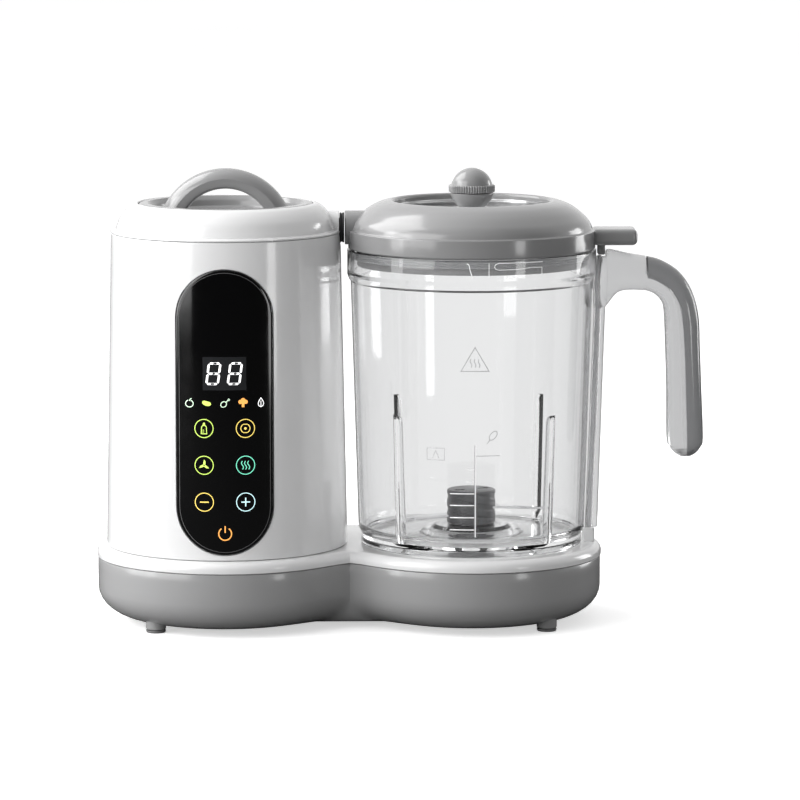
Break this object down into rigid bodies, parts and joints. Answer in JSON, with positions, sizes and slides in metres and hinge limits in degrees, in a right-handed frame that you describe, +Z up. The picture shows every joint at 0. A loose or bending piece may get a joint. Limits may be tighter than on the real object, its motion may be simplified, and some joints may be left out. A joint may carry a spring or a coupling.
{
  "type": "baby food maker",
  "caption": "Countertop steamer and blender: white steam tower with touch panel, clear jug with grey lid and handle, on a shared two-lobed base.",
  "frame": {"origin": "bottom centre of the object's bounding box, on the plane that the feet stand on", "axes": "+Z up, +X towards the jug and its handle, -Y towards the user"},
  "size_m": [0.34, 0.146, 0.2539],
  "materials": {
    "white_gloss": "glossy moulded ABS",
    "grey_gloss": "glossy moulded ABS, neutral grey",
    "panel_black": "high-gloss acrylic over a black print",
    "display_grey": "smoked display block",
    "clear_plastic": "clear copolyester",
    "smoke_plastic": "smoke-tinted translucent plastic",
    "black_rubber": "matt rubber",
    "silicone": "satin silicone",
    "dark_plastic": "dark grey engineering plastic",
    "stainless": "brushed stainless steel",
    "cast_aluminium": "die-cast aluminium",
    "laminated_iron": "varnished laminations",
    "copper_winding": "enamelled copper windings on an iron core",
    "board_green": "glass-fibre circuit board"
  },
  "bodies": {
    "base": {"base_pan": "grey_gloss", "base_deck": "white_gloss", "tower_shell": "white_gloss", "tower_cap": "white_gloss", "control_panel": "panel_black", "display_module": "display_grey", "control_board": "board_green", "steam_cup": "stainless", "steam_pipe": "silicone", "nozzle_seal": "black_rubber", "heater_plate": "cast_aluminium", "heating_element": "stainless", "thermostat": "dark_plastic", "motor_bracket_lower": "cast_aluminium", "motor_bracket_upper": "cast_aluminium", "bearing_motor_lower": "stainless", "bearing_motor_upper": "stainless", "motor_stator": "laminated_iron", "drive_belt": "black_rubber", "bearing_spindle_lower": "stainless", "bearing_spindle_upper": "stainless", "power_board": "board_green", "microswitch": "dark_plastic", "cord_gland": "black_rubber", "foot_1": "black_rubber", "foot_2": "black_rubber", "foot_3": "black_rubber", "foot_4": "black_rubber", "pan_screw_1": "stainless", "pan_screw_2": "stainless", "pan_screw_3": "stainless", "pan_screw_4": "stainless"},
    "armature": {"motor_armature": "copper_winding", "motor_shaft": "stainless", "motor_fan": "dark_plastic", "motor_pulley": "dark_plastic"},
    "drive": {"driven_pulley": "dark_plastic", "spindle_shaft": "stainless", "drive_coupling": "dark_plastic"},
    "lock_pin": {"lock_pin": "white_gloss", "lock_spring": "stainless"},
    "jug": {"jug_body": "clear_plastic", "handle_grip": "smoke_plastic", "spindle_bush": "black_rubber"},
    "lock_rod": {"lock_rod": "white_gloss"},
    "blade_drive": {"jug_coupler": "dark_plastic", "jug_spindle": "stainless"},
    "blades": {"blade_hub": "dark_plastic", "blade_upper": "stainless", "blade_lower": "stainless"},
    "lid_seal_ring": {"lid_seal": "silicone"},
    "lid": {"lid_dome": "grey_gloss", "lid_collar": "grey_gloss"},
    "filler_cap": {"filler_window": "clear_plastic", "knob_base": "grey_gloss", "knob_cap": "grey_gloss", "knob_screw": "stainless"},
    "tank_lid": {"tank_lid_disc": "grey_gloss", "tank_lid_seal": "silicone", "tank_lid_handle": "grey_gloss"}
  },
  "joints": [
    {"name": "tank_lid_lift", "type": "slide", "parent": "base", "child": "tank_lid", "axis": [0, 0, 1], "range_m": [0, 0.08]},
    {"name": "motor_spin", "type": "hinge", "parent": "base", "child": "armature", "pos_m": [-0.097, 0, 0.087], "axis": [0, 0, 1], "continuous": true},
    {"name": "drive_spin", "type": "hinge", "parent": "base", "child": "drive", "pos_m": [0.04, 0, 0.02], "axis": [0, 0, 1], "continuous": true},
    {"name": "pin_lift", "type": "slide", "parent": "base", "child": "lock_pin", "axis": [0, 0, 1], "range_m": [0, 0.003], "deforming": ["lock_spring"]},
    {"name": "jug_lift", "type": "slide", "parent": "base", "child": "jug", "axis": [0, 0, 1], "range_m": [0, 0.215]},
    {"name": "rod_lift", "type": "slide", "parent": "jug", "child": "lock_rod", "axis": [0.0353, 0, 0.9994], "range_m": [0, 0.003]},
    {"name": "blade_spin", "type": "hinge", "parent": "jug", "child": "blade_drive", "pos_m": [0.04, 0, 0.05], "axis": [0, 0, 1], "continuous": true},
    {"name": "blade_lift", "type": "slide", "parent": "blade_drive", "child": "blades", "axis": [0, 0, 1], "range_m": [0, 0.03]},
    {"name": "lid_lift", "type": "slide", "parent": "jug", "child": "lid_seal_ring", "axis": [0, 0, 1], "range_m": [0, 0.06]},
    {"name": "lid_turn", "type": "hinge", "parent": "lid_seal_ring", "child": "lid", "pos_m": [0.04, 0, 0.2096], "axis": [0, 0, 1], "range_deg": [0, 30]},
    {"name": "cap_lift", "type": "slide", "parent": "lid", "child": "filler_cap", "axis": [0, 0, 1], "range_m": [0, 0.05]}
  ],
  "couplings": [
    {"joint": "drive_spin", "follows": "motor_spin", "ratio": 0.37173},
    {"joint": "blade_spin", "follows": "motor_spin", "ratio": 0.37173},
    {"joint": "rod_lift", "follows": "lid_turn", "m_per_rad": 0.0057},
    {"joint": "pin_lift", "follows": "lid_turn", "m_per_rad": 0.0057}
  ]
}
